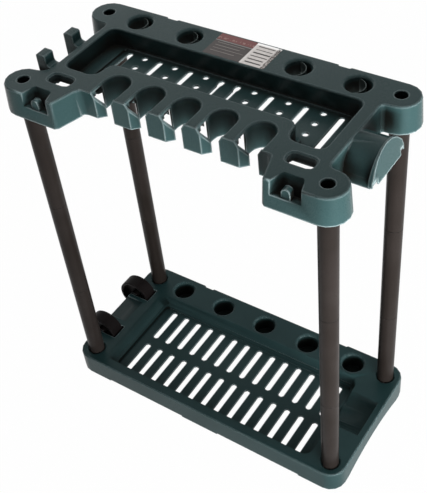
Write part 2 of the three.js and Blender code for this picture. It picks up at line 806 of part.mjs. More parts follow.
// The cutter of a pin's bore, along Y through one bay
function pinBody(radius, length, y) {
  const profile = [[0, -length / 2], [radius, -length / 2], [radius, length / 2], [0, length / 2]];
  const geometry = revolve(profile, collarSides);
  return solid(geometry.rotateX(Math.PI / 2).translate(wheelAxisX, y, wheelAxisZ));
}

// What is cut from the lower edge of the skirt, so that the tray stands on feet
function skirtReliefs() {
  const corner = trayX - footLength;
  const middle = footLength / 2;
  const gaps = [[-corner, -middle], [middle, corner]];
  const fronts = gaps.flatMap(([x0, x1]) => [
    block(x0, x1, -trayY - overrun, -trayY + wall + embed, -overrun, footHeight),
    block(x0, x1, trayY - wall - grooveDepth - embed, trayY + overrun, -overrun, footHeight),
  ]);
  const half = archSpan / 2;
  const radius = arcRadius(half, archHeight);
  const sweep = Math.asin(half / radius);
  const curve = range(bowSteps + 1).map((index) => {
    const angle = sweep * (1 - 2 * index / bowSteps);
    return new THREE.Vector2(radius * Math.sin(angle), archHeight - radius + radius * Math.cos(angle));
  });
  const arch = [...curve, new THREE.Vector2(-half, -overrun), new THREE.Vector2(half, -overrun)];
  return [...fronts, alongX(arch, trayX - wall - embed, trayX + overrun)];
}

// The long rib below the base tray's floor, between its two rows of slots
function floorRib() {
  const middleY = baseGridY - baseSlotLength - baseSlotGap / 2;
  const half = ribThickness / 2;
  const left = -(poleX - baseWellLeft) + leftSlope;
  const right = poleX - baseWellRight - sideSlope;
  const underZ = baseFloorZ - floorThickness;
  return block(left, right, middleY - half, middleY + half, underZ - ribDepth, underZ + embed);
}

// The round socket of each pole, as a body or as its cutter
function socketBodies() {
  const radius = poleRadius + slideGap + wall;
  const z0 = tubeBottomZ - seatGap - floorThickness;
  return corners.map(([sx, sy]) => rod(radius, z0, baseHeight - embed, sx * poleX, sy * poleY, collarSides));
}

function socketBores() {
  const radius = poleRadius + slideGap;
  const z0 = tubeBottomZ - seatGap;
  return corners.map(([sx, sy]) =>
    rimmedHole(radius, socketRim, z0, baseHeight, sx * poleX, sy * poleY, tubeSides));
}

// The shallow panel between the wheels, as a body or as its cutter
function endPanel(grow) {
  const half = panelLength / 2 + grow;
  const x0 = -trayX + (grow > 0 ? wall / 2 : -overrun);
  const x1 = -trayX + panelWidth + grow;
  const z0 = baseHeight - panelDrop - (grow > 0 ? plateThickness : 0);
  const z1 = grow > 0 ? baseHeight - embed : baseHeight + overrun;
  return block(x0, x1, scoopShift - half, scoopShift + half, z0, z1);
}

function baseTray() {
  const outline = [[-trayX, -trayY, cornerRadius], [trayX, -trayY, cornerRadius], ...rearEdge(trayX, trayY)];
  const casting = softPrism(roundedLoop(outline), 0, baseHeight, edgeRadius);
  const cavity = prism(roundedLoop(outline, wall), -overrun, baseHeight - plateThickness);
  const shell = cut(casting, cavity, ...skirtReliefs());
  const bays = [-1, 1].map(wheelBay);
  const cupFloorZ = baseHeight - cupDepth;
  const cupZ = cupFloorZ - floorThickness;
  const cups = range(handleHoles).map((index) =>
    rod(handleRadius + wall, cupZ, baseHeight - embed, handleX(index), handleY, collarSides));
  const added = join(shell, slopedWell(baseWellDepth + floorThickness, wall), endPanel(wall), scoop(wall),
    floorRib(), ...railRibs(baseRearY, cupFloorZ, baseHeight - plateThickness + embed / 2),
    ...cups, ...socketBodies(), ...bays.map((bay) => bay.walls));
  const underZ = baseFloorZ - floorThickness - overrun;
  const slots = baseGrid().map((loop) => prism(loop, underZ, baseFloorZ + embed));
  return cut(added, slopedWell(baseWellDepth, 0), endPanel(0), scoop(0), ...slots, ...socketBores(),
    ...range(handleHoles).map((index) =>
      rimmedHole(handleRadius, handleRim, cupFloorZ, baseHeight, handleX(index), handleY)),
    ...bays.map((bay) => bay.hollow));
}

// One pole tube: a plain body with a narrower spigot on top that plugs into what stands above it
function tubeGeometry() {
  const spigotBore = spigotRadius - spigotWall;
  const body = tubeLength - seatGap;
  const top = body + spigotLength;
  return revolve([
    [boreRadius, 0], [poleRadius, 0], [poleRadius, body], [spigotRadius, body],
    [spigotRadius, top - spigotChamfer], [spigotRadius - spigotChamfer, top], [spigotBore, top],
    [spigotBore, body - neckLength], [boreRadius, body - neckLength - neckLength], [boreRadius, 0],
  ], tubeSides);
}

// A wheel: rim, web and hub, turning on its pin
function wheelGeometry() {
  const half = wheelWidth / 2;
  const web = webThickness / 2;
  const bore = pinRadius + slideGap;
  const rim = wheelRadius - rimThickness;
  const tread = wheelRadius - treadChamfer;
  return revolve([
    [bore, -half], [hubRadius, -half], [hubRadius, -web], [rim, -web], [rim, -half], [tread, -half],
    [wheelRadius, treadChamfer - half], [wheelRadius, half - treadChamfer], [tread, half],
    [rim, half], [rim, web], [hubRadius, web], [hubRadius, half], [bore, half], [bore, -half],
  ], wheelSides);
}

// A headed pin that carries a wheel between the two walls of its bay
function pinGeometry() {
  const grip = wheelWidth / 2 + wheelSideGap + wall;
  return revolve([
    [0, -grip - pinTail], [pinRadius, -grip - pinTail], [pinRadius, grip + seatGap],
    [pinHeadRadius, grip + seatGap], [pinHeadRadius, grip + seatGap + pinHead], [0, grip + seatGap + pinHead],
  ], collarSides);
}

const plastic = (name, color, roughness) => new THREE.MeshStandardMaterial({ name, color, roughness });
const finishes = {
  tray: plastic('green_plastic', 0x2f3f40, 0.5),
  pole: plastic('dark_plastic', 0x2b2624, 0.45),
  wheel: plastic('black_plastic', 0x1c1817, 0.55),
};

function turned(name, geometry, finish) {
  return piece(name, solid(geometry), finish);
}

// One pole: its tubes stacked from the base socket up to the sleeve in the top tray
function pole(side, sx, sy) {
  const group = new THREE.Group();
  group.position.set(sx * poleX, sy * poleY, tubeBottomZ);
  ['lower', 'middle', 'upper'].forEach((level, index) => {
    const tube = turned(`pole_${side}_${level}`, tubeGeometry(), finishes.pole);
    tube.position.z = index * tubeLength;
    group.add(tube);
  });
  return group;
}

// One wheel with its pin, lying along Y
function wheel(end, side) {
  const group = new THREE.Group();
  group.position.set(wheelAxisX, wheelShiftY + side * wheelTrack / 2, wheelAxisZ);
  group.rotation.x = side * Math.PI / 2;
  group.add(turned(`wheel_${end}`, wheelGeometry(), finishes.wheel));
  group.add(turned(`wheel_pin_${end}`, pinGeometry(), finishes.wheel));
  return group;
}

const rack = new THREE.Group();
rack.position.x = -(wheelTip + saddleTip) / 2;
rack.add(piece('top_tray', topTray(), finishes.tray));
rack.add(piece('base_tray', baseTray(), finishes.tray));
rack.add(pole('front_left', -1, -1), pole('front_right', 1, -1));
rack.add(pole('rear_left', -1, 1), pole('rear_right', 1, 1));
rack.add(wheel('front', -1), wheel('rear', 1));

export default rack;
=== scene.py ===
# %% [markdown]
# A freestanding rack for garden tools: two green moulded trays, four dark poles of three tubes each, and two
# wheels at the left end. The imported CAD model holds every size, so this file only gives it looks: finer round
# pieces, softened edges, plastics with grain, a plain printed label, a white studio and the camera.

import math

import bmesh
import bpy
from mathutils import Matrix, Vector


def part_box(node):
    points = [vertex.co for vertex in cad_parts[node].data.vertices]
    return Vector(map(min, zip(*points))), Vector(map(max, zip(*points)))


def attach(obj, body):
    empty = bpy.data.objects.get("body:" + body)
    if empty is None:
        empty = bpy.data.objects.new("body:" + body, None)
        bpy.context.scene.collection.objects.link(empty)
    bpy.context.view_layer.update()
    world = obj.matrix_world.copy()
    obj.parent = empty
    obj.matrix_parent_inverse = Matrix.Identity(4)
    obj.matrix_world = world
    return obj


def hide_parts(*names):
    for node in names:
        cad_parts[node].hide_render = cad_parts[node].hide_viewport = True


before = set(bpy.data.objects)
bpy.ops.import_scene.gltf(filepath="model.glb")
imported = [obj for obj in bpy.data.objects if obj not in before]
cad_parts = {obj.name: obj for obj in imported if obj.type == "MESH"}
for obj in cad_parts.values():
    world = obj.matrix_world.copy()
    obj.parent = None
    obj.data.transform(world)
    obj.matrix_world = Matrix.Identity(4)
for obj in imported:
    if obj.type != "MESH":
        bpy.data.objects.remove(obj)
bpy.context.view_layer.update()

# %% [markdown]
# The camera stands at the front right and looks down by 44 degrees, with a small roll, as the photograph was
# taken. Its place and lens come from lining up the four poles and both trays, so they are plain numbers here.
# The image is taller than wide, so the 36 mm sensor lies along its height.


# %% Camera
def new_object(name, data):
    thing = bpy.data.objects.new(name, data)
    bpy.context.scene.collection.objects.link(thing)
    return thing


image_width, image_height = 427, 493
camera_place = Vector((0.6462, -0.8235, 1.3326))
camera_azimuth, camera_elevation, camera_roll = (math.radians(a) for a in (38.2, 43.98, -6.97))
focal_pixels = 941.25
principal_x, principal_y = 217.63, 243.74

back = Vector((
    math.sin(camera_azimuth) * math.cos(camera_elevation),
    -math.cos(camera_azimuth) * math.cos(camera_elevation),
    math.sin(camera_elevation),
))
level = Vector((math.cos(camera_azimuth), math.sin(camera_azimuth), 0))
upright = back.cross(level)
right = math.cos(camera_roll) * level + math.sin(camera_roll) * upright
top = back.cross(right)

camera_data = bpy.data.cameras.new("photo_camera")
camera_data.sensor_width = 36
camera_data.lens = focal_pixels * camera_data.sensor_width / image_height
camera_data.shift_x = (image_width / 2 - principal_x) / image_height
camera_data.shift_y = (principal_y - image_height / 2) / image_height
camera_data.clip_start, camera_data.clip_end = 0.05, 50
camera = new_object("photo_camera", camera_data)
camera.matrix_world = Matrix((right, top, back)).transposed().to_4x4()
camera.matrix_world.translation = camera_place
bpy.context.scene.camera = camera
print("camera lens in mm:", round(camera_data.lens, 2))

# %% [markdown]
# Every finish and every repeated shape is a tree of nodes, so small helpers keep the cells short. Two fill a
# node's inputs and add a node with its settings. Four make what comes up again and again: a calculation, a
# range, a blend of two colours and a noise. The last two start a group and a material.


# %% Node helpers
def connect(tree, node, inputs):
    """Give inputs of a node, by name or number, their sockets or plain values."""
    for name, value in inputs.items():
        if isinstance(value, bpy.types.NodeSocket):
            tree.links.new(value, node.inputs[name])
        else:
            node.inputs[name].default_value = value


def add_node(tree, kind, inputs=None, **settings):
    node = tree.nodes.new(kind)
    for name, value in settings.items():
        setattr(node, name, value)
    connect(tree, node, inputs or {})
    return node


def calculate(tree, operation, *values):
    return add_node(tree, "ShaderNodeMath", dict(enumerate(values)), operation=operation).outputs[0]


def map_range(tree, value, low, high, to_low=0.0, to_high=1.0):
    """Turn a value between low and high into one between to_low and to_high, and never leave that range."""
    return add_node(tree, "ShaderNodeMapRange", {
        "Value": value, "From Min": low, "From Max": high, "To Min": to_low, "To Max": to_high,
    }).outputs["Result"]


def mixed(tree, share, first, second):
    """The colour between two colours, at a share from 0 to 1."""
    return add_node(tree, "ShaderNodeMix", {0: share, 6: first, 7: second}, data_type="RGBA").outputs[2]


def noise(tree, place, scale, detail=2.0):
    inputs = {"Vector": place, "Scale": scale, "Detail": detail}
    return add_node(tree, "ShaderNodeTexNoise", inputs).outputs["Fac"]


def new_group(name, kind, inputs, outputs):
    """A node group, its inputs inside the group, and the node that takes its outputs."""
    group = bpy.data.node_groups.new(name, kind)
    for side, sockets in (("INPUT", inputs), ("OUTPUT", outputs)):
        for label, socket_kind, *value in sockets:
            socket = group.interface.new_socket(label, in_out=side, socket_type=socket_kind)
            if value:
                socket.default_value = value[0]
    return group, group.nodes.new("NodeGroupInput").outputs, group.nodes.new("NodeGroupOutput")


def new_material(name, **shader_inputs):
    """A material, its tree, its Principled shader and the object's own coordinates."""
    material = bpy.data.materials.new(name)
    material.use_nodes = True
    tree = material.node_tree
    shader = tree.nodes["Principled BSDF"]
    connect(tree, shader, {label.replace("_", " "): value for label, value in shader_inputs.items()})
    place = tree.nodes.new("ShaderNodeTexCoord").outputs["Object"]
    return material, tree, shader, place


print("node helpers ready")

# %% [markdown]
# Both trays, the poles and the wheels come out of steel moulds, whose walls leave a fine even grain in the
# plastic, and cooling leaves slow, faint clouds of colour and gloss. A bitmap could hold that, but noise on
# the object's own coordinates has no seams and keeps its real scale, so one shader group makes it for all.

# %% Shader group: moulded skin
noise_middle = 0.5
cloud_low, cloud_high = 0.35, 0.65
gloss_spread = 0.16

skin_group, skin_in, skin_out = new_group(
    "Moulded skin", "ShaderNodeTree",
    [("Place", "NodeSocketVector"), ("Colour", "NodeSocketColor"), ("Deep colour", "NodeSocketColor"),
     ("Roughness", "NodeSocketFloat", 0.4), ("Clouds", "NodeSocketFloat", 14.0),
     ("Grain", "NodeSocketFloat", 900.0)],
    [("Colour", "NodeSocketColor"), ("Roughness", "NodeSocketFloat"), ("Height", "NodeSocketFloat")],
)
clouds = noise(skin_group, skin_in["Place"], skin_in["Clouds"], detail=4.0)
grain = noise(skin_group, skin_in["Place"], skin_in["Grain"])
pits = add_node(skin_group, "ShaderNodeTexVoronoi", {"Vector": skin_in["Place"], "Scale": skin_in["Grain"]})
colour_share = map_range(skin_group, clouds, cloud_low, cloud_high)
cloud_step = calculate(skin_group, "SUBTRACT", clouds, noise_middle)
grain_step = calculate(skin_group, "SUBTRACT", grain, noise_middle)
gloss_step = calculate(skin_group, "ADD", cloud_step, grain_step)
connect(skin_group, skin_out, {
    "Colour": mixed(skin_group, colour_share, skin_in["Colour"], skin_in["Deep colour"]),
    "Roughness": calculate(skin_group, "MULTIPLY_ADD", gloss_step, gloss_spread, skin_in["Roughness"]),
    "Height": calculate(skin_group, "MULTIPLY", grain, pits.outputs["Distance"]),
})
print("group:", skin_group.name, "with", len(skin_group.nodes), "nodes")

# %% [markdown]
# No moulded edge is truly sharp: each has a radius of about a millimetre, and that radius catches the light
# as a thin bright line. Bevelling the mesh of a tray with so many cut-outs would tear at its small corners.
# The Bevel node rounds only the shading normal, and where it turns away from the flat one lies an edge, which
# gets a painted highlight: a lighter colour along it.

# %% Shader group: soft edges
highlight_width = 1.7
edge_begins, edge_is_full = 0.998, 0.955
# The lighter colour along the edges is a painted highlight.
painted_highlight_colour = (0.32, 0.41, 0.42, 1)

edge_group, edge_in, edge_out = new_group(
    "Soft edges", "ShaderNodeTree",
    [("Radius", "NodeSocketFloat", 0.001), ("Colour", "NodeSocketColor"), ("Rub", "NodeSocketFloat", 0.2)],
    [("Colour", "NodeSocketColor"), ("Normal", "NodeSocketVector")],
)
rounded = add_node(edge_group, "ShaderNodeBevel", {"Radius": edge_in["Radius"]}, samples=6)
highlight_reach = calculate(edge_group, "MULTIPLY", edge_in["Radius"], highlight_width)
highlight_bevel = add_node(edge_group, "ShaderNodeBevel", {"Radius": highlight_reach}, samples=6)
flat_normal = add_node(edge_group, "ShaderNodeNewGeometry").outputs["Normal"]
agreement = add_node(edge_group, "ShaderNodeVectorMath", {0: highlight_bevel.outputs["Normal"], 1: flat_normal},
                     operation="DOT_PRODUCT")
edge = map_range(edge_group, agreement.outputs["Value"], edge_begins, edge_is_full)
highlight_share = calculate(edge_group, "MULTIPLY", edge, edge_in["Rub"])
connect(edge_group, edge_out, {
    "Colour": mixed(edge_group, highlight_share, edge_in["Colour"], painted_highlight_colour),
    "Normal": rounded.outputs["Normal"],
})
print("group:", edge_group.name, "with", len(edge_group.nodes), "nodes")

# %% [markdown]
# The notches, holes and recesses go nearly black: little light gets in. An occlusion mask finds those places
# from the shape alone and paints shade there, a colour near black, and the same mask makes the surface duller.
# So the same group serves every piece, and its reach says how wide a hollow still counts. The first
# millimetres below a tray's top get no painted shade, so each rim shows as a lit line above its dark hollow.

# %% Shader group: painted shade in hollows
hollow_begins, hollow_is_full = 0.82, 0.50
rim_depth = 0.001

hollow_group, hollow_in, hollow_out = new_group(
    "Painted hollow shade", "ShaderNodeTree",
    [("Place", "NodeSocketVector"), ("Reach", "NodeSocketFloat", 0.03), ("Colour", "NodeSocketColor"),
     ("Dust", "NodeSocketColor"), ("Amount", "NodeSocketFloat", 0.8), ("Top", "NodeSocketFloat", 1.0),
     ("Clean", "NodeSocketFloat", 0.010)],
    [("Colour", "NodeSocketColor"), ("Hollow", "NodeSocketFloat")],
)
open_share = add_node(hollow_group, "ShaderNodeAmbientOcclusion", {"Distance": hollow_in["Reach"]},
                      samples=8, only_local=True)
hollow = map_range(hollow_group, open_share.outputs["AO"], hollow_begins, hollow_is_full)
point_height = add_node(hollow_group, "ShaderNodeSeparateXYZ", {"Vector": hollow_in["Place"]}).outputs["Z"]
depth = calculate(hollow_group, "SUBTRACT", hollow_in["Top"], point_height)
deep = map_range(hollow_group, depth, rim_depth, hollow_in["Clean"])
# Painted shade: the mask darkens hollows, but not the first millimetres below a tray's top.
shade_below_rims = calculate(hollow_group, "MULTIPLY", hollow, deep)
painted_shade = calculate(hollow_group, "MULTIPLY", shade_below_rims, hollow_in["Amount"])
connect(hollow_group, hollow_out, {
    "Colour": mixed(hollow_group, painted_shade, hollow_in["Colour"], hollow_in["Dust"]),
    "Hollow": painted_shade,
})
print("group:", hollow_group.name, "with", len(hollow_group.nodes), "nodes")

# %% [markdown]
# One function joins the three groups into a plastic. A tray also gets the height of its top, and no shade
# is painted in the first millimetres below it. The other pieces keep a top far above them, so that their
# hollows count at any height.

# %% Plastic from the three groups
# The near-black colour of the hollows is painted shade, and the hollows are made rougher too.
painted_shade_colour = (0.006, 0.006, 0.005, 1)
hollow_roughness = 0.5
grain_strength = 0.6
upper_tray_top, lower_tray_top = 0.6175, 0.040


def plastic(name, colour, deep_colour, roughness, grain_depth, edge_radius, edge_highlight, specular, reach, hollow_shade,
            top=1.0):
    material, tree, shader, place = new_material(name, Specular_IOR_Level=specular)
    skin = add_node(tree, "ShaderNodeGroup", {
        "Place": place, "Colour": (*colour, 1), "Deep colour": (*deep_colour, 1), "Roughness": roughness,
    }, node_tree=skin_group)
    # Painted highlight: edges get a lighter colour.
    edges = add_node(tree, "ShaderNodeGroup", {
        "Radius": edge_radius, "Rub": edge_highlight, "Colour": skin.outputs["Colour"],
    }, node_tree=edge_group)
    bump = add_node(tree, "ShaderNodeBump", {
        "Height": skin.outputs["Height"], "Normal": edges.outputs["Normal"], "Distance": grain_depth,
        "Strength": grain_strength,
    })
    # Painted shade: hollows are darkened toward near black.
    hollows = add_node(tree, "ShaderNodeGroup", {
        "Place": place, "Reach": reach, "Colour": edges.outputs["Colour"], "Dust": painted_shade_colour,
        "Amount": hollow_shade, "Top": top,
    }, node_tree=hollow_group)
    dulled = calculate(tree, "MULTIPLY_ADD", hollows.outputs["Hollow"], hollow_roughness,
                       skin.outputs["Roughness"])
    connect(tree, shader, {
        "Base Color": hollows.outputs["Colour"], "Roughness": dulled, "Normal": bump.outputs["Normal"],
    })
    print("plastic:", name)
    return material


upper_green = plastic(
    "upper_green_plastic", colour=(0.038, 0.084, 0.086), deep_colour=(0.032, 0.072, 0.074), roughness=0.27,
    grain_depth=0.00012, edge_radius=0.0020, edge_highlight=0.85, specular=0.16, reach=0.060, hollow_shade=1.0,
    top=upper_tray_top)
lower_green = plastic(
    "lower_green_plastic", colour=(0.024, 0.060, 0.062), deep_colour=(0.020, 0.051, 0.053), roughness=0.32,
    grain_depth=0.00014, edge_radius=0.0018, edge_highlight=0.75, specular=0.12, reach=0.050, hollow_shade=0.9,
    top=lower_tray_top)
pole_black = plastic(
    "pole_brown_black_plastic", colour=(0.028, 0.023, 0.021), deep_colour=(0.020, 0.016, 0.014),
    roughness=0.30, grain_depth=0.00006, edge_radius=0.0005, edge_highlight=0.05, specular=0.06, reach=0.004, hollow_shade=0.8)
wheel_black = plastic(
    "wheel_black_plastic", colour=(0.009, 0.007, 0.007), deep_colour=(0.006, 0.005, 0.005),
    roughness=0.42, grain_depth=0.00010, edge_radius=0.0008, edge_highlight=0.20, specular=0.05, reach=0.012, hollow_shade=0.8)
# Painted light: the sleeves' grey-green is about three times as light as the tray's green, and stands in for
# light reaching down into the holes.
sleeve_painted_light = plastic(
    "hole_sleeve_painted_light", colour=(0.105, 0.132, 0.128), deep_colour=(0.084, 0.106, 0.102),
    roughness=0.38, grain_depth=0.00012, edge_radius=0.0008, edge_highlight=0.15, specular=0.20, reach=0.008, hollow_shade=0.2)

# %% [markdown]
# The trays keep the exact CAD shape, because every hole and slot is already there. Their triangles come in
# loose, so each is copied, its doubled corners are merged and its flat regions joined. Then curved steps are
# shaded smooth, sharp corners stay sharp, and area-weighted normals keep the broad faces flat.

# %% Trays from the CAD solids
sharp_angle = math.radians(50)
normal_weight = 80
doubled_within = 2e-6
flat_within = math.radians(0.2)


def weigh_normals(piece):
    """Sharp corners stay sharp, and broad faces stay flat beside the small faces of a rounded edge."""
    piece.data.shade_smooth()
    piece.data.set_sharp_from_angle(angle=sharp_angle)
    weighted = piece.modifiers.new("area weighted normals", "WEIGHTED_NORMAL")
    weighted.mode, weighted.keep_sharp, weighted.weight = "FACE_AREA", True, normal_weight


for node_name, piece_name, material in (
    ("top_tray", "upper_tray", upper_green),
    ("base_tray", "lower_tray", lower_green),
):
    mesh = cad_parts[node_name].data.copy()
    mesh.name = piece_name
    shape = bmesh.new()
    shape.from_mesh(mesh)
    bmesh.ops.remove_doubles(shape, verts=shape.verts, dist=doubled_within)
    bmesh.ops.dissolve_limit(shape, angle_limit=flat_within, verts=shape.verts, edges=shape.edges)
    shape.to_mesh(mesh)
    shape.free()
    mesh.materials.clear()
    mesh.materials.append(material)
    piece = new_object(piece_name, mesh)
    weigh_normals(piece)
    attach(piece, "frame")
    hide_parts(node_name)
    print(piece_name, "has", len(mesh.polygons), "faces")

# %% [markdown]
# Tubes, tyres and hubs are all rings: a rounded rectangle carried round a circle. Geometry Nodes make that as
# one small group, Swept ring, which the trees of the tube, the wheel and the sleeves use with their own sizes.

# %% Geometry group: swept ring
corner_steps = 3

ring_group, ring_in, ring_out = new_group(
    "Swept ring", "GeometryNodeTree",
    [("Outer radius", "NodeSocketFloat", 0.014), ("Wall", "NodeSocketFloat", 0.002),
     ("Bottom", "NodeSocketFloat", 0.0), ("Height", "NodeSocketFloat", 0.2),
     ("Rounding", "NodeSocketFloat", 0.0005), ("Sides", "NodeSocketInt", 48)],
    [("Geometry", "NodeSocketGeometry")],
)
half_wall = calculate(ring_group, "MULTIPLY", ring_in["Wall"], 0.5)
path_radius = calculate(ring_group, "SUBTRACT", ring_in["Outer radius"], half_wall)
path = add_node(ring_group, "GeometryNodeCurvePrimitiveCircle",
                {"Radius": path_radius, "Resolution": ring_in["Sides"]})
upright_path = add_node(ring_group, "GeometryNodeSetCurveNormal", {"Curve": path.outputs["Curve"]})
upright_path.mode = "Z_UP"
section = add_node(ring_group, "GeometryNodeCurvePrimitiveQuadrilateral",
                   {"Width": ring_in["Wall"], "Height": ring_in["Height"]})
soft_section = add_node(ring_group, "GeometryNodeFilletCurve",
                        {"Curve": section.outputs["Curve"], "Radius": ring_in["Rounding"]})
soft_section.mode = "POLY"
soft_section.inputs["Count"].default_value = corner_steps
swept = add_node(ring_group, "GeometryNodeCurveToMesh",
                 {"Curve": upright_path.outputs["Curve"], "Profile Curve": soft_section.outputs["Curve"]})
middle_height = calculate(ring_group, "MULTIPLY_ADD", ring_in["Height"], 0.5, ring_in["Bottom"])
lift = add_node(ring_group, "ShaderNodeCombineXYZ", {"Z": middle_height})
raised = add_node(ring_group, "GeometryNodeTransform",
                  {"Geometry": swept.outputs["Mesh"], "Translation": lift.outputs["Vector"]})
connect(ring_group, ring_out, {"Geometry": raised.outputs["Geometry"]})
print("group:", ring_group.name, "with", len(ring_group.nodes), "nodes")

# %% [markdown]
# Each tree ends alike: Realize Instances, because only real meshes are exported, then smooth shading and the
# material. A tree could stay live on its piece, but a plain mesh is safer to move and export. So it is baked:
# its inputs are set on an empty holder, the result becomes the piece's mesh, and the holder goes.


# %% Helpers that finish a tree and bake it
def swept_ring(tree, **sizes):
    inputs = {label.replace("_", " "): value for label, value in sizes.items()}
    return add_node(tree, "GeometryNodeGroup", inputs, node_tree=ring_group).outputs["Geometry"]


def together(tree, *parts):
    joined = add_node(tree, "GeometryNodeJoinGeometry")
    for part in parts:
        tree.links.new(part, joined.inputs["Geometry"])
    return joined.outputs["Geometry"]


def finish_tree(tree, geometry, material_socket, output):
    real = add_node(tree, "GeometryNodeRealizeInstances", {"Geometry": geometry})
    smooth = add_node(tree, "GeometryNodeSetShadeSmooth", {"Geometry": real.outputs["Geometry"]})
    coloured = add_node(tree, "GeometryNodeSetMaterial",
                        {"Geometry": smooth.outputs["Geometry"], "Material": material_socket})
    connect(tree, output, {"Geometry": coloured.outputs["Geometry"]})


def bake_tree(tree, piece_name, values):
    """A plain mesh object from a tree, with the named inputs set before it is evaluated."""
    holder_name = piece_name + "_holder"
    holder = new_object(holder_name, bpy.data.meshes.new(holder_name))
    modifier = holder.modifiers.new("tree", "NODES")
    modifier.node_group = tree
    sockets = {item.name: item.identifier for item in tree.interface.items_tree if item.in_out == "INPUT"}
    for label, value in values.items():
        modifier[sockets[label]] = value
    bpy.context.view_layer.update()
    evaluated = holder.evaluated_get(bpy.context.evaluated_depsgraph_get())
    mesh = bpy.data.meshes.new_from_object(evaluated)
    mesh.name = piece_name
    bpy.data.objects.remove(holder)
    piece = new_object(piece_name, mesh)
    weigh_normals(piece)
    return piece


print("tree helpers ready")

# %% [markdown]
# Each pole is three equal tubes, one plugged on the next: a wall, a neck where it narrows inside, and the
# spigot on top. The seam shows as a fine dark ring, because both rims are rounded. One tree makes a tube
# from its sizes, and it is baked twelve times, each time at the place of its CAD node.

# %% Geometry tree: pole tube
neck_inset, neck_wall, neck_below_top, neck_height, neck_rounding = 0.001, 0.0029, 0.009, 0.0085, 0.0004
spigot_root = 0.008

tube_tree, tube_in, tube_out = new_group(
    "Pole tube", "GeometryNodeTree",
    [("Radius", "NodeSocketFloat", 0.01375), ("Wall", "NodeSocketFloat", 0.0018),
     ("Length", "NodeSocketFloat", 0.2), ("Spigot radius", "NodeSocketFloat", 0.01165),
     ("Spigot length", "NodeSocketFloat", 0.025), ("Rounding", "NodeSocketFloat", 0.0006),
     ("Sides", "NodeSocketInt", 48), ("Foot", "NodeSocketVector"), ("Material", "NodeSocketMaterial")],
    [("Geometry", "NodeSocketGeometry")],
)
tube_wall = swept_ring(tube_tree, Outer_radius=tube_in["Radius"], Wall=tube_in["Wall"], Bottom=0.0,
                       Height=tube_in["Length"], Rounding=tube_in["Rounding"], Sides=tube_in["Sides"])
neck = swept_ring(tube_tree, Outer_radius=calculate(tube_tree, "SUBTRACT", tube_in["Radius"], neck_inset),
                  Wall=neck_wall, Bottom=calculate(tube_tree, "SUBTRACT", tube_in["Length"], neck_below_top),
                  Height=neck_height, Rounding=neck_rounding, Sides=tube_in["Sides"])
spigot = swept_ring(tube_tree, Outer_radius=tube_in["Spigot radius"], Wall=tube_in["Wall"],
                    Bottom=calculate(tube_tree, "SUBTRACT", tube_in["Length"], spigot_root),
                    Height=calculate(tube_tree, "ADD", tube_in["Spigot length"], spigot_root),
                    Rounding=tube_in["Rounding"], Sides=tube_in["Sides"])
stood_up = add_node(tube_tree, "GeometryNodeTransform",
                    {"Geometry": together(tube_tree, tube_wall, neck, spigot), "Translation": tube_in["Foot"]})
finish_tree(tube_tree, stood_up.outputs["Geometry"], tube_in["Material"], tube_out)
print("tree:", tube_tree.name, "with", len(tube_tree.nodes), "nodes")


# %% Twelve tubes
def in_millimetres(lengths):
    return [round(length * 1000, 1) for length in lengths]


spigot_length = 0.025
for corner in ("front_left", "front_right", "rear_right", "rear_left"):
    for level_name in ("lower", "middle", "upper"):
        node_name = f"pole_{corner}_{level_name}"
        low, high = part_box(node_name)
        middle = (low + high) / 2
        tube = bake_tree(tube_tree, f"tube_{corner}_{level_name}", {
            "Radius": (high.y - low.y) / 2, "Wall": 0.0018, "Length": high.z - low.z - spigot_length,
            "Spigot radius": 0.01165, "Spigot length": spigot_length, "Rounding": 0.0006, "Sides": 48,
            "Foot": (middle.x, middle.y, low.z), "Material": pole_black,
        })
        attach(tube, "frame")
        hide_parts(node_name)
print("one tube spans", in_millimetres(tube.dimensions), "mm")

# %% [markdown]
# The wheels are one black moulding each: a broad tyre with rounded shoulders, a thin web and a hub. The same
# swept ring makes all three, and the tree turns them from upright onto the axle, which lies along Y.

# %% Geometry tree: wheel
tyre_rounding, web_rounding, hub_rounding = 0.0022, 0.0005, 0.0008
web_inset, web_inner_radius = 0.003, 0.006

wheel_tree, wheel_in, wheel_out = new_group(
    "Moulded wheel", "GeometryNodeTree",
    [("Radius", "NodeSocketFloat", 0.032), ("Width", "NodeSocketFloat", 0.026),
     ("Rim", "NodeSocketFloat", 0.005), ("Hub radius", "NodeSocketFloat", 0.009),
     ("Bore radius", "NodeSocketFloat", 0.0033), ("Web", "NodeSocketFloat", 0.004),
     ("Sides", "NodeSocketInt", 72), ("Centre", "NodeSocketVector"), ("Material", "NodeSocketMaterial")],
    [("Geometry", "NodeSocketGeometry")],
)
side_bottom = calculate(wheel_tree, "MULTIPLY", wheel_in["Width"], -0.5)
web_bottom = calculate(wheel_tree, "MULTIPLY", wheel_in["Web"], -0.5)
hub_wall = calculate(wheel_tree, "SUBTRACT", wheel_in["Hub radius"], wheel_in["Bore radius"])
web_radius = calculate(wheel_tree, "SUBTRACT", wheel_in["Radius"], web_inset)
web_wall = calculate(wheel_tree, "SUBTRACT", web_radius, web_inner_radius)
tyre = swept_ring(wheel_tree, Outer_radius=wheel_in["Radius"], Wall=wheel_in["Rim"], Bottom=side_bottom,
                  Height=wheel_in["Width"], Rounding=tyre_rounding, Sides=wheel_in["Sides"])
web = swept_ring(wheel_tree, Outer_radius=web_radius, Wall=web_wall, Bottom=web_bottom,
                 Height=wheel_in["Web"], Rounding=web_rounding, Sides=wheel_in["Sides"])
hub = swept_ring(wheel_tree, Outer_radius=wheel_in["Hub radius"], Wall=hub_wall, Bottom=side_bottom,
                 Height=wheel_in["Width"], Rounding=hub_rounding, Sides=wheel_in["Sides"])
turned = add_node(wheel_tree, "GeometryNodeTransform",
                  {"Geometry": together(wheel_tree, tyre, web, hub), "Rotation": (math.pi / 2, 0, 0),
                   "Translation": wheel_in["Centre"]})
finish_tree(wheel_tree, turned.outputs["Geometry"], wheel_in["Material"], wheel_out)
print("tree:", wheel_tree.name, "with", len(wheel_tree.nodes), "nodes")

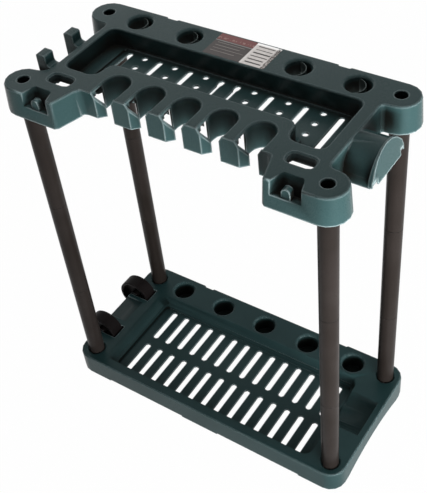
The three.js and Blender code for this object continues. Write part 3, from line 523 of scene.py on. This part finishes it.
# %% Two wheels and their pins
for end in ("front", "rear"):
    low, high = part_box(f"wheel_{end}")
    wheel = bake_tree(wheel_tree, f"wheel_{end}_moulding", {
        "Radius": (high.z - low.z) / 2, "Width": high.y - low.y, "Rim": 0.005, "Hub radius": 0.009,
        "Bore radius": 0.0033, "Web": 0.004, "Sides": 72, "Centre": tuple((low + high) / 2),
        "Material": wheel_black,
    })
    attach(wheel, f"{end}_wheel")
    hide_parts(f"wheel_{end}")
    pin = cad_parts[f"wheel_pin_{end}"]
    pin.data.materials.clear()
    pin.data.materials.append(wheel_black)
print("one wheel spans", in_millimetres(wheel.dimensions), "mm")

# %% [markdown]
# Each round hole of the rear rail has a wide rolled mouth, and below it a ledge with a narrower sleeve. The
# sleeve's colour is a lighter grey-green than the tray's: painted light inside the hole. The five are alike and
# stand at a steady pitch, so a tree puts one swept ring on each point of a line. The sleeve is thin, so that a
# tool handle still goes through.

# %% Geometry tree: hole sleeves
sleeve_tree, sleeve_in, sleeve_out = new_group(
    "Hole sleeves", "GeometryNodeTree",
    [("Count", "NodeSocketInt", 5), ("Pitch", "NodeSocketFloat", 0.09), ("First", "NodeSocketVector"),
     ("Radius", "NodeSocketFloat", 0.018), ("Wall", "NodeSocketFloat", 0.001),
     ("Depth", "NodeSocketFloat", 0.006), ("Height", "NodeSocketFloat", 0.02),
     ("Rounding", "NodeSocketFloat", 0.0004), ("Sides", "NodeSocketInt", 64),
     ("Material", "NodeSocketMaterial")],
    [("Geometry", "NodeSocketGeometry")],
)
sleeve_step = add_node(sleeve_tree, "ShaderNodeCombineXYZ", {"X": sleeve_in["Pitch"]})
sleeve_line = add_node(sleeve_tree, "GeometryNodeMeshLine",
                       {"Count": sleeve_in["Count"], "Start Location": sleeve_in["First"],
                        "Offset": sleeve_step.outputs["Vector"]})
sleeve_end = calculate(sleeve_tree, "ADD", sleeve_in["Depth"], sleeve_in["Height"])
sleeve_bottom = calculate(sleeve_tree, "MULTIPLY", sleeve_end, -1.0)
sleeve_ring = swept_ring(sleeve_tree, Outer_radius=sleeve_in["Radius"], Wall=sleeve_in["Wall"],
                         Bottom=sleeve_bottom, Height=sleeve_in["Height"], Rounding=sleeve_in["Rounding"],
                         Sides=sleeve_in["Sides"])
sleeve_copies = add_node(sleeve_tree, "GeometryNodeInstanceOnPoints",
                         {"Points": sleeve_line.outputs["Mesh"], "Instance": sleeve_ring})
finish_tree(sleeve_tree, sleeve_copies.outputs["Instances"], sleeve_in["Material"], sleeve_out)
print("tree:", sleeve_tree.name, "with", len(sleeve_tree.nodes), "nodes")

# %% Five sleeves
hole_count, hole_pitch, hole_y, hole_radius = 5, 0.0889, 0.0945, 0.0183
first_hole = (-(hole_count - 1) / 2 * hole_pitch, hole_y, upper_tray_top)
sleeve_clearance = 0.00005
sleeves = bake_tree(sleeve_tree, "rail_hole_sleeves", {
    "Count": hole_count, "Pitch": hole_pitch, "First": first_hole, "Radius": hole_radius - sleeve_clearance,
    "Wall": 0.0013, "Depth": 0.0048, "Height": 0.0235, "Rounding": 0.0004, "Sides": 64,
    "Material": sleeve_painted_light,
})
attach(sleeves, "frame")
print("sleeves span", in_millimetres(sleeves.dimensions), "mm")

# %% [markdown]
# A printed label lies on the rear rail, between the round holes: a dark field with a dull red band, and a pale
# panel beside it. It is a separate thin sheet, because a label stands proud of the plastic by its thickness,
# and its corners are cut round.


# %% Label sheet
def rounded_sheet(name, x_range, y_range, bottom, thickness, corner, steps=5):
    """A thin closed sheet with rounded corners, in place."""
    outline = []
    for index in range(4):
        cx = (x_range[1] - corner) if index in (0, 3) else (x_range[0] + corner)
        cy = (y_range[1] - corner) if index in (0, 1) else (y_range[0] + corner)
        for step in range(steps + 1):
            angle = math.pi / 2 * (index + step / steps)
            outline.append((cx + corner * math.cos(angle), cy + corner * math.sin(angle)))
    shape = bmesh.new()
    face = shape.faces.new([shape.verts.new((x, y, bottom)) for x, y in outline])
    extruded = bmesh.ops.extrude_face_region(shape, geom=[face])
    lifted = [item for item in extruded["geom"] if isinstance(item, bmesh.types.BMVert)]
    bmesh.ops.translate(shape, verts=lifted, vec=(0, 0, thickness))
    bmesh.ops.recalc_face_normals(shape, faces=shape.faces)
    mesh = bpy.data.meshes.new(name)
    shape.to_mesh(mesh)
    shape.free()
    return new_object(name, mesh)


label_x, label_y = (-0.0415, 0.0575), (0.0680, 0.1205)
label_thickness, label_corner, label_gap = 0.0002, 0.0012, 0.00002
label = rounded_sheet("rail_label", label_x, label_y, upper_tray_top + label_gap, label_thickness,
                      label_corner)
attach(label, "frame")
print("label is", in_millimetres(label.dimensions), "mm")

# %% [markdown]
# An image could hold the print, but it would need a file and blur close up. Here masks decide the colour from
# where a point lies on the sheet, as a printer's plates do: each mask turns from 0 to 1 at its edge, and
# every blend lays one more ink over the ones before.


# %% Masks along the sheet
def share_over(tree, value, edge_at, softness=0.0004):
    """A mask that turns from 0 to 1 where a value passes an edge."""
    return map_range(tree, value, edge_at - softness / 2, edge_at + softness / 2)


def share_between(tree, value, low, high):
    """A mask that is 1 between two places along a coordinate."""
    return calculate(tree, "SUBTRACT", share_over(tree, value, low), share_over(tree, value, high))


print("masks ready")

# %% Print on the dark field
fibre_scale, dash_scale = 260.0, (420.0, 150.0, 1.0)
dash_level, dash_softness = 0.54, 0.08
rule_y, band_start, dash_y = (0.1032, 0.1044), 0.1055, (0.1085, 0.1125)
pale_print, pale_red = (0.60, 0.57, 0.55, 1), (0.50, 0.28, 0.25, 1)

label_print, tree, shader, place = new_material("label_print", Specular_IOR_Level=0.4)
axes = add_node(tree, "ShaderNodeSeparateXYZ", {"Vector": place}).outputs
fibre = noise(tree, place, fibre_scale, detail=3.0)
field = mixed(tree, fibre, (0.045, 0.033, 0.030, 1), (0.068, 0.052, 0.047, 1))
band = mixed(tree, fibre, (0.220, 0.052, 0.047, 1), (0.310, 0.088, 0.080, 1))
dash_place = add_node(tree, "ShaderNodeMapping", {"Vector": place, "Scale": dash_scale})
dashes = noise(tree, dash_place.outputs["Vector"], 1.0)
dash_share = calculate(tree, "MULTIPLY", share_over(tree, dashes, dash_level, dash_softness),
                       share_between(tree, axes["Y"], *dash_y))
band_with_dashes = mixed(tree, dash_share, band, pale_red)
field_with_band = mixed(tree, share_over(tree, axes["Y"], band_start), field, band_with_dashes)
field_with_rule = mixed(tree, share_between(tree, axes["Y"], *rule_y), field_with_band, pale_print)
print("field print:", len(tree.nodes), "nodes")

# %% Print on the pale panel
field_end, stripe_end, speckle_start, margin_start = 0.0183, 0.0217, 0.0520, 0.1165
speckle_scale, speckle_level, speckle_softness = 620.0, 0.45, 0.2
speckle_brown, margin_white = (0.080, 0.058, 0.046, 1), (0.90, 0.89, 0.88, 1)
foil_metal = 0.75
label_gloss_low, label_gloss_high = 0.34, 0.46
fibre_height = 0.00004

panel = mixed(tree, fibre, (0.42, 0.39, 0.37, 1), (0.66, 0.63, 0.61, 1))
speckle = add_node(tree, "ShaderNodeTexVoronoi", {"Vector": place, "Scale": speckle_scale}).outputs["Distance"]
speckle_share = calculate(tree, "MULTIPLY", share_over(tree, axes["X"], speckle_start),
                          share_over(tree, speckle, speckle_level, speckle_softness))
panel_with_stripe = mixed(tree, share_over(tree, axes["X"], stripe_end), pale_print, panel)
panel_with_speckle = mixed(tree, speckle_share, panel_with_stripe, speckle_brown)
panel_with_margin = mixed(tree, share_over(tree, axes["Y"], margin_start), panel_with_speckle, margin_white)
panel_share = share_over(tree, axes["X"], field_end)
foil = calculate(tree, "MULTIPLY", panel_share, calculate(tree, "SUBTRACT", 1.0, speckle_share))
label_bump = add_node(tree, "ShaderNodeBump", {"Height": fibre, "Distance": fibre_height})
connect(tree, shader, {
    "Base Color": mixed(tree, panel_share, field_with_rule, panel_with_margin),
    "Metallic": calculate(tree, "MULTIPLY", foil, foil_metal),
    "Roughness": map_range(tree, fibre, 0.0, 1.0, label_gloss_low, label_gloss_high),
    "Normal": label_bump.outputs["Normal"],
})
label.data.materials.append(label_print)
print("whole print:", len(tree.nodes), "nodes")

# %% [markdown]
# The rules and bars of the print repeat at a steady pitch with uneven lengths, so a tree makes them: a line of
# points, a thin bar on each, and a random length from a fixed seed. The random widths take the count of bars
# as their seed. Two inks colour the bars, each with a fine speckle, because print never covers evenly.

# %% Geometry tree: printed bars
bar_tree, bar_in, bar_out = new_group(
    "Printed bars", "GeometryNodeTree",
    [("Count", "NodeSocketInt", 4), ("Pitch", "NodeSocketFloat", 0.006), ("Length", "NodeSocketFloat", 0.04),
     ("Shortest share", "NodeSocketFloat", 0.6), ("Width", "NodeSocketFloat", 0.001),
     ("Thinnest", "NodeSocketFloat", 0.001), ("Thickness", "NodeSocketFloat", 0.0001),
     ("Seed", "NodeSocketInt", 3), ("Start", "NodeSocketVector"), ("Material", "NodeSocketMaterial")],
    [("Geometry", "NodeSocketGeometry")],
)
bar_step = add_node(bar_tree, "ShaderNodeCombineXYZ", {"Y": bar_in["Pitch"]})
bar_line = add_node(bar_tree, "GeometryNodeMeshLine",
                    {"Count": bar_in["Count"], "Start Location": bar_in["Start"],
                     "Offset": bar_step.outputs["Vector"]})
bar_share = add_node(bar_tree, "FunctionNodeRandomValue",
                     {"Seed": bar_in["Seed"], 2: bar_in["Shortest share"]}, data_type="FLOAT")
bar_length = calculate(bar_tree, "MULTIPLY", bar_share.outputs[1], bar_in["Length"])
bar_width = add_node(bar_tree, "FunctionNodeRandomValue",
                     {"Seed": bar_in["Count"], 2: bar_in["Thinnest"], 3: bar_in["Width"]}, data_type="FLOAT")
bar_size = add_node(bar_tree, "ShaderNodeCombineXYZ",
                    {"X": bar_length, "Y": bar_width.outputs[1], "Z": bar_in["Thickness"]})
unit_bar = add_node(bar_tree, "GeometryNodeMeshCube", {"Size": (1, 1, 1)})
bars = add_node(bar_tree, "GeometryNodeInstanceOnPoints",
                {"Points": bar_line.outputs["Mesh"], "Instance": unit_bar.outputs["Mesh"],
                 "Scale": bar_size.outputs["Vector"]})
bar_shift = add_node(bar_tree, "ShaderNodeCombineXYZ", {"X": calculate(bar_tree, "MULTIPLY", bar_length, 0.5)})
bars_left = add_node(bar_tree, "GeometryNodeTranslateInstances",
                     {"Instances": bars.outputs["Instances"], "Translation": bar_shift.outputs["Vector"],
                      "Local Space": False})
finish_tree(bar_tree, bars_left.outputs["Instances"], bar_in["Material"], bar_out)
print("tree:", bar_tree.name, "with", len(bar_tree.nodes), "nodes")

# %% Two inks and the bars
ink_grain_scale = 700.0
ink_gloss_low, ink_gloss_high = 0.4, 0.6


def ink(name, colour, other_colour):
    material, tree, shader, place = new_material(name, Specular_IOR_Level=0.4)
    speckle = noise(tree, place, ink_grain_scale)
    connect(tree, shader, {
        "Base Color": mixed(tree, speckle, (*colour, 1), (*other_colour, 1)),
        "Roughness": map_range(tree, speckle, 0.0, 1.0, ink_gloss_low, ink_gloss_high),
    })
    return material


pale_ink = ink("pale_ink", (0.52, 0.47, 0.44), (0.36, 0.32, 0.30))
dark_ink = ink("dark_ink", (0.022, 0.018, 0.018), (0.045, 0.038, 0.036))
bar_bottom = upper_tray_top + label_gap + label_thickness
rules = bake_tree(bar_tree, "label_rules", {
    "Count": 4, "Pitch": 0.0068, "Length": 0.050, "Shortest share": 0.55, "Width": 0.0013, "Thinnest": 0.0009,
    "Thickness": 0.00006, "Seed": 5, "Start": (-0.0350, 0.0785, bar_bottom), "Material": pale_ink,
})
panel_bars = bake_tree(bar_tree, "label_bars", {
    "Count": 6, "Pitch": 0.0078, "Length": 0.027, "Shortest share": 0.85, "Width": 0.0032, "Thinnest": 0.0012,
    "Thickness": 0.00006, "Seed": 11, "Start": (0.0240, 0.0745, bar_bottom), "Material": dark_ink,
})
for piece in (rules, panel_bars):
    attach(piece, "frame")
    print(piece.name, "has", len(piece.data.polygons), "faces")

# %% [markdown]
# The studio is a white floor under a pale sky. The floor shows its white to the camera and to reflections by
# itself, and a small share of it is plainly lit, so that a faint shadow keeps the rack on the ground.

# %% Floor and world
floor_half_size, floor_drop = 8, 0.0004
floor_glow = 0.99
sky_light = 0.03

floor_mesh = bpy.data.meshes.new("studio_floor")
floor_mesh.from_pydata([
    (x * floor_half_size, y * floor_half_size, -floor_drop) for x, y in ((-1, -1), (1, -1), (1, 1), (-1, 1))
], [], [(0, 1, 2, 3)])
studio_floor = new_object("studio_floor", floor_mesh)


def seen_share(tree, share):
    """The share of the plain white that camera, mirror and glass rays see."""
    rays = tree.nodes.new("ShaderNodeLightPath").outputs
    either = calculate(tree, "MAXIMUM", rays["Is Camera Ray"], rays["Is Glossy Ray"])
    any_ray = calculate(tree, "MAXIMUM", either, rays["Is Transmission Ray"])
    return calculate(tree, "MULTIPLY", any_ray, share)


floor_material, tree, shader, _ = new_material(
    "studio_white", Roughness=0.9, Base_Color=(0.70, 0.70, 0.70, 1))
white = add_node(tree, "ShaderNodeEmission", {"Color": (1, 1, 1, 1), "Strength": 1.0})
floor_mix = add_node(tree, "ShaderNodeMixShader", {
    0: seen_share(tree, floor_glow), 1: shader.outputs["BSDF"], 2: white.outputs["Emission"],
})
connect(tree, tree.nodes["Material Output"], {"Surface": floor_mix.outputs["Shader"]})
floor_mesh.materials.append(floor_material)

sky = bpy.data.worlds.new("pale_sky")
sky.use_nodes = True
bpy.context.scene.world = sky
sky_tree = sky.node_tree
connect(sky_tree, sky_tree.nodes["Background"], {
    "Color": (1, 1, 1, 1),
    "Strength": map_range(sky_tree, seen_share(sky_tree, 1.0), 0.0, 1.0, sky_light, 1.0),
})
print("floor and sky ready")

# %% [markdown]
# The photograph's light is soft and comes low from the front and the right: the skirts glow teal, the flat
# top stays grey, and the wells go nearly black. A near key lamp with a narrow spread lights the skirts, a lamp
# above the flat faces, and a faint one at the left keeps the far side readable. Glossy plastic would show
# these three as hard white patches from the sides, so only the faint lamp behind is mirrored, which gives the
# grey sheen.


# %% Lamps
def lamp(name, place, target, width, height, power, spread_degrees=180, mirrored=False):
    data = bpy.data.lights.new(name, "AREA")
    data.shape, data.size, data.size_y, data.energy = "RECTANGLE", width, height, power
    data.spread = math.radians(spread_degrees)
    body = new_object(name, data)
    body.location = place
    body.visible_camera, body.visible_glossy = False, mirrored
    body.rotation_euler = (Vector(target) - Vector(place)).to_track_quat("-Z", "Y").to_euler()
    print(name, "at", place, "with", power, "W")


lamp("key_right", place=(1.15, -0.50, 0.31), target=(0.36, 0.04, 0.46), width=0.90, height=0.58, power=9.5,
     spread_degrees=95)
lamp("fill_left", place=(-1.5, -1.3, 0.7), target=(0, 0, 0.35), width=1.0, height=1.0, power=1.2)
lamp("top_soft", place=(0.2, 0.5, 2.6), target=(0, 0, 0.3), width=1.2, height=1.2, power=12.5)
lamp("sheen_rear", place=(-0.90, 1.10, 1.95), target=(0, 0, 0.60), width=1.4, height=1.4, power=2,
     mirrored=True)

# %% [markdown]
# Standard keeps the colours as they are written.

bpy.context.scene.view_settings.view_transform = "Standard"
